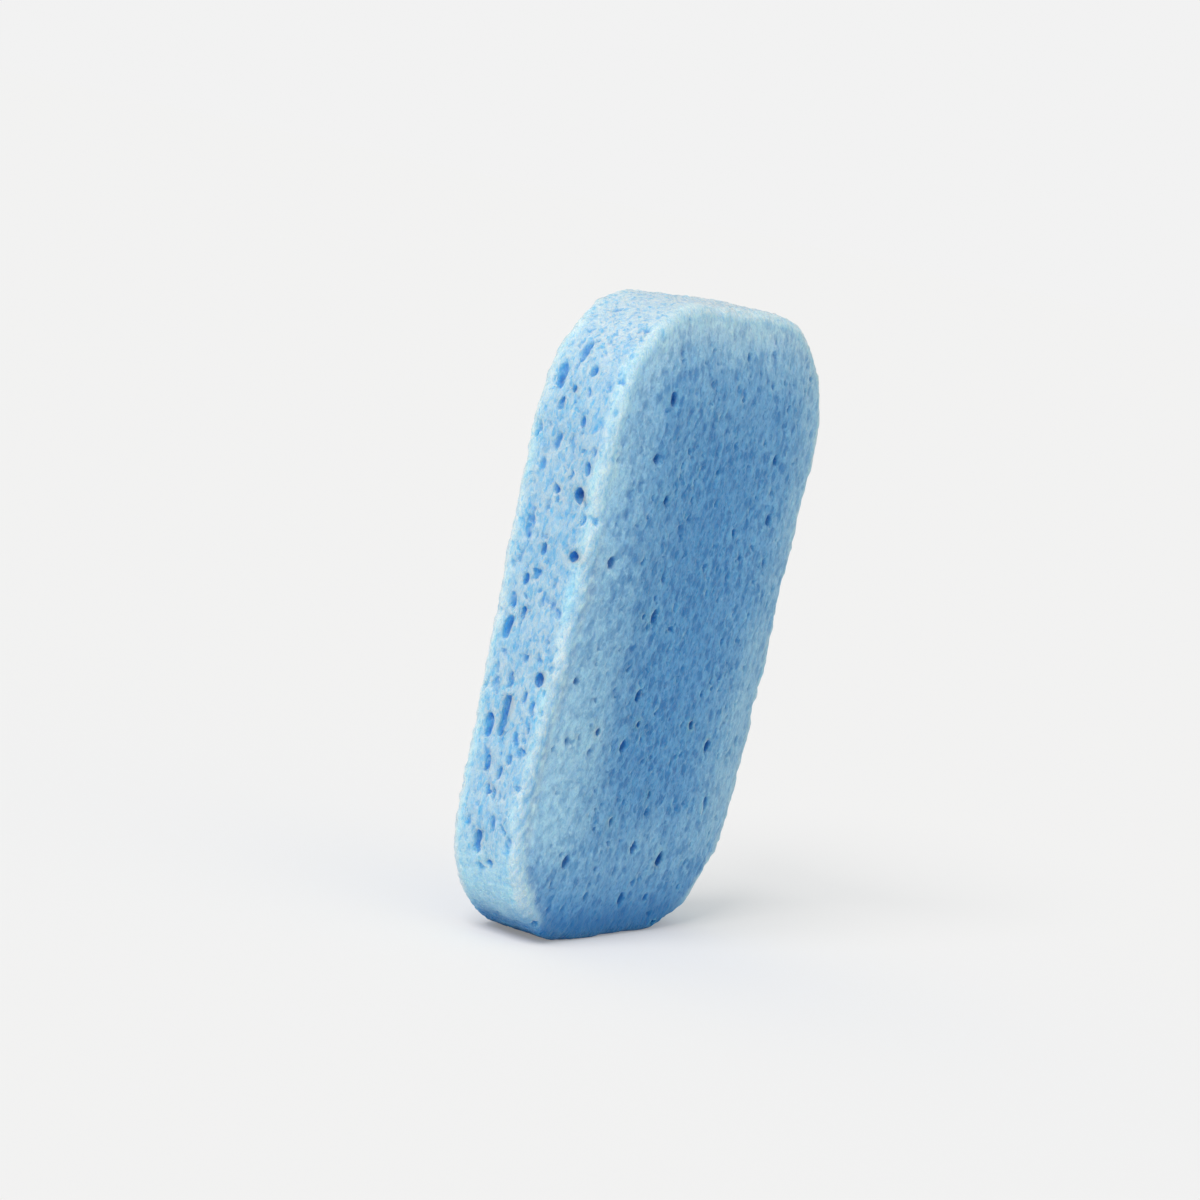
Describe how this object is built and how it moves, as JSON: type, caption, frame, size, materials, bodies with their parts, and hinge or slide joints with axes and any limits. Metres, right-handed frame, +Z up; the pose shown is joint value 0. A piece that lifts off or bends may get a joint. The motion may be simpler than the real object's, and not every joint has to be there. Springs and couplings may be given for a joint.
{
  "type": "cleaning sponge",
  "caption": "Thick block of light blue cellulose foam with large round corners and open pores, for wiping and washing by hand, standing on its flat foot.",
  "frame": {"origin": "middle of the flat foot, on the surface that the block stands on", "axes": "+X across the width, +Y through the thickness towards the back face, +Z up the length"},
  "size_m": [0.076, 0.018, 0.115],
  "materials": {
    "foam": "dry open-pored cellulose foam, light blue and matt, deeper blue inside the pores"
  },
  "bodies": {
    "root": {"sponge": "foam"}
  },
  "joints": []
}
